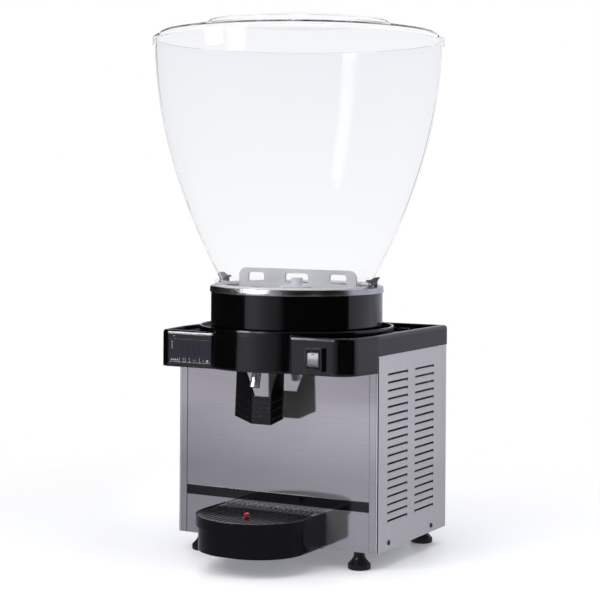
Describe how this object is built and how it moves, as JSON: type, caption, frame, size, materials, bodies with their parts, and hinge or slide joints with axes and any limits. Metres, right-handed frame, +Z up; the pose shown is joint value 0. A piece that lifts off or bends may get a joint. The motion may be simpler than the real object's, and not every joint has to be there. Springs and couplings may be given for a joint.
{
  "type": "cold_drink_dispenser",
  "caption": "Single-bowl cold drink dispenser: clear flared bowl with a stirrer blade on a black collar, steel louvred cabinet, push-lever tap and drip tray",
  "frame": {"origin": "on the floor under the bowl's axis, at the middle of the overall width and depth", "axes": "+X to the object's right seen from the front, +Y to the back, +Z up"},
  "size_m": [0.499, 0.499, 0.9103],
  "materials": {
    "steel": "brushed",
    "bright_steel": "polished",
    "galvanised": "dull",
    "black_gloss": "gloss",
    "black_matt": "satin",
    "dark_grey": "satin",
    "pale_grey": "satin",
    "clear": "clear",
    "smoked_window": "gloss",
    "rubber": "matt",
    "white_rubber": "matt",
    "red": "gloss",
    "foam": "porous",
    "copper": "drawn",
    "aluminium": "plain",
    "black_enamel": "enamel"
  },
  "bodies": {
    "cabinet": {"base_pan": "galvanised", "front_panel": "steel", "corner_posts": "steel", "side_panel_left": "steel", "side_panel_right": "steel", "rear_panel": "steel", "top_deck": "galvanised", "panel_screws": "black_enamel", "label_band": "black_gloss", "top_cover": "black_gloss", "collar": "black_gloss", "steel_ring": "bright_steel", "cold_plate": "bright_steel", "evaporator_coil": "copper", "foam_ring": "foam", "bowl_gasket": "white_rubber", "bowl": "clear", "clamp_bases": "dark_grey", "clamp_pins": "bright_steel", "spindle": "bright_steel", "stirrer_motor": "galvanised", "motor_stand": "galvanised", "outlet_pipe": "bright_steel", "tap_bracket": "galvanised", "valve_body": "dark_grey", "spout": "bright_steel", "lever_pin": "bright_steel", "controller_case": "black_gloss", "controller_window": "smoked_window", "switch_frame": "black_matt", "switch_cap": "clear", "tray_bracket": "galvanised", "compressor": "black_enamel", "compressor_mounts": "rubber", "condenser": "aluminium", "fan_shroud": "galvanised", "fan_motor": "galvanised", "refrigerant_pipes": "copper", "cord_inlet": "black_matt"},
    "lid": {"lid": "clear"},
    "stirrer": {"stirrer_blade": "pale_grey", "stirrer_magnets": "dark_grey"},
    "drive": {"drive_rotor": "aluminium", "drive_magnets": "dark_grey"},
    "clamp_left": {"clamp_lever_left": "dark_grey"},
    "clamp_right": {"clamp_lever_right": "dark_grey"},
    "piston": {"valve_piston": "pale_grey", "piston_seals": "rubber", "piston_pin": "bright_steel", "valve_spring": "bright_steel"},
    "lever": {"tap_lever": "black_gloss"},
    "rocker": {"switch_rocker": "pale_grey"},
    "tray": {"drip_tray": "black_gloss"},
    "grille": {"drip_grille": "black_gloss"},
    "float": {"level_float": "red"},
    "fan": {"fan_blades": "black_matt"},
    "foot_fl": {"foot_front_left": "black_matt"},
    "foot_fr": {"foot_front_right": "black_matt"},
    "foot_rl": {"foot_rear_left": "black_matt"},
    "foot_rr": {"foot_rear_right": "black_matt"}
  },
  "joints": [
    {"name": "lid_lift", "type": "slide", "parent": "cabinet", "child": "lid", "axis": [0, 0, 1], "range_m": [0, 0.12]},
    {"name": "stirrer_spin", "type": "hinge", "parent": "cabinet", "child": "stirrer", "pos_m": [0, 0, 0.46], "axis": [0, 0, 1], "continuous": true},
    {"name": "drive_spin", "type": "hinge", "parent": "cabinet", "child": "drive", "pos_m": [0, 0, 0.44], "axis": [0, 0, 1], "continuous": true},
    {"name": "clamp_left_open", "type": "hinge", "parent": "cabinet", "child": "clamp_left", "pos_m": [-0.14525, 0, 0.4648], "axis": [0, -1, 0], "range_deg": [0, 85]},
    {"name": "clamp_right_open", "type": "hinge", "parent": "cabinet", "child": "clamp_right", "pos_m": [0.14525, 0, 0.4648], "axis": [0, 1, 0], "range_deg": [0, 85]},
    {"name": "lever_push", "type": "hinge", "parent": "cabinet", "child": "lever", "pos_m": [0, -0.143, 0.366], "axis": [1, 0, 0], "range_deg": [0, 15], "stiffness_Nm_per_rad": 2, "springref_deg": -11.46},
    {"name": "piston_lift", "type": "slide", "parent": "cabinet", "child": "piston", "axis": [0, 0, 1], "range_m": [0, 0.0048], "deforming": ["valve_spring"]},
    {"name": "rocker_tilt", "type": "hinge", "parent": "cabinet", "child": "rocker", "pos_m": [0.119, -0.1499, 0.3495], "axis": [1, 0, 0], "range_deg": [0, 14]},
    {"name": "tray_pull", "type": "slide", "parent": "cabinet", "child": "tray", "axis": [0, -1, 0], "range_m": [0, 0.18]},
    {"name": "grille_lift", "type": "slide", "parent": "tray", "child": "grille", "axis": [0, 0, 1], "range_m": [0, 0.06]},
    {"name": "float_rise", "type": "slide", "parent": "tray", "child": "float", "axis": [0, 0, 1], "range_m": [0, 0.006]},
    {"name": "foot_fl_turn", "type": "hinge", "parent": "cabinet", "child": "foot_fl", "pos_m": [-0.151, -0.0554, 0.015], "axis": [0, 0, 1], "continuous": true},
    {"name": "foot_fr_turn", "type": "hinge", "parent": "cabinet", "child": "foot_fr", "pos_m": [0.151, -0.0554, 0.015], "axis": [0, 0, 1], "continuous": true},
    {"name": "foot_rl_turn", "type": "hinge", "parent": "cabinet", "child": "foot_rl", "pos_m": [-0.151, 0.1896, 0.015], "axis": [0, 0, 1], "continuous": true},
    {"name": "foot_rr_turn", "type": "hinge", "parent": "cabinet", "child": "foot_rr", "pos_m": [0.151, 0.1896, 0.015], "axis": [0, 0, 1], "continuous": true},
    {"name": "fan_spin", "type": "hinge", "parent": "cabinet", "child": "fan", "pos_m": [0.12, 0.0686, 0.1612], "axis": [1, 0, 0], "continuous": true}
  ],
  "couplings": [
    {"joint": "drive_spin", "follows": "stirrer_spin", "ratio": 1},
    {"joint": "piston_lift", "follows": "lever_push", "m_per_rad": 0.018}
  ]
}
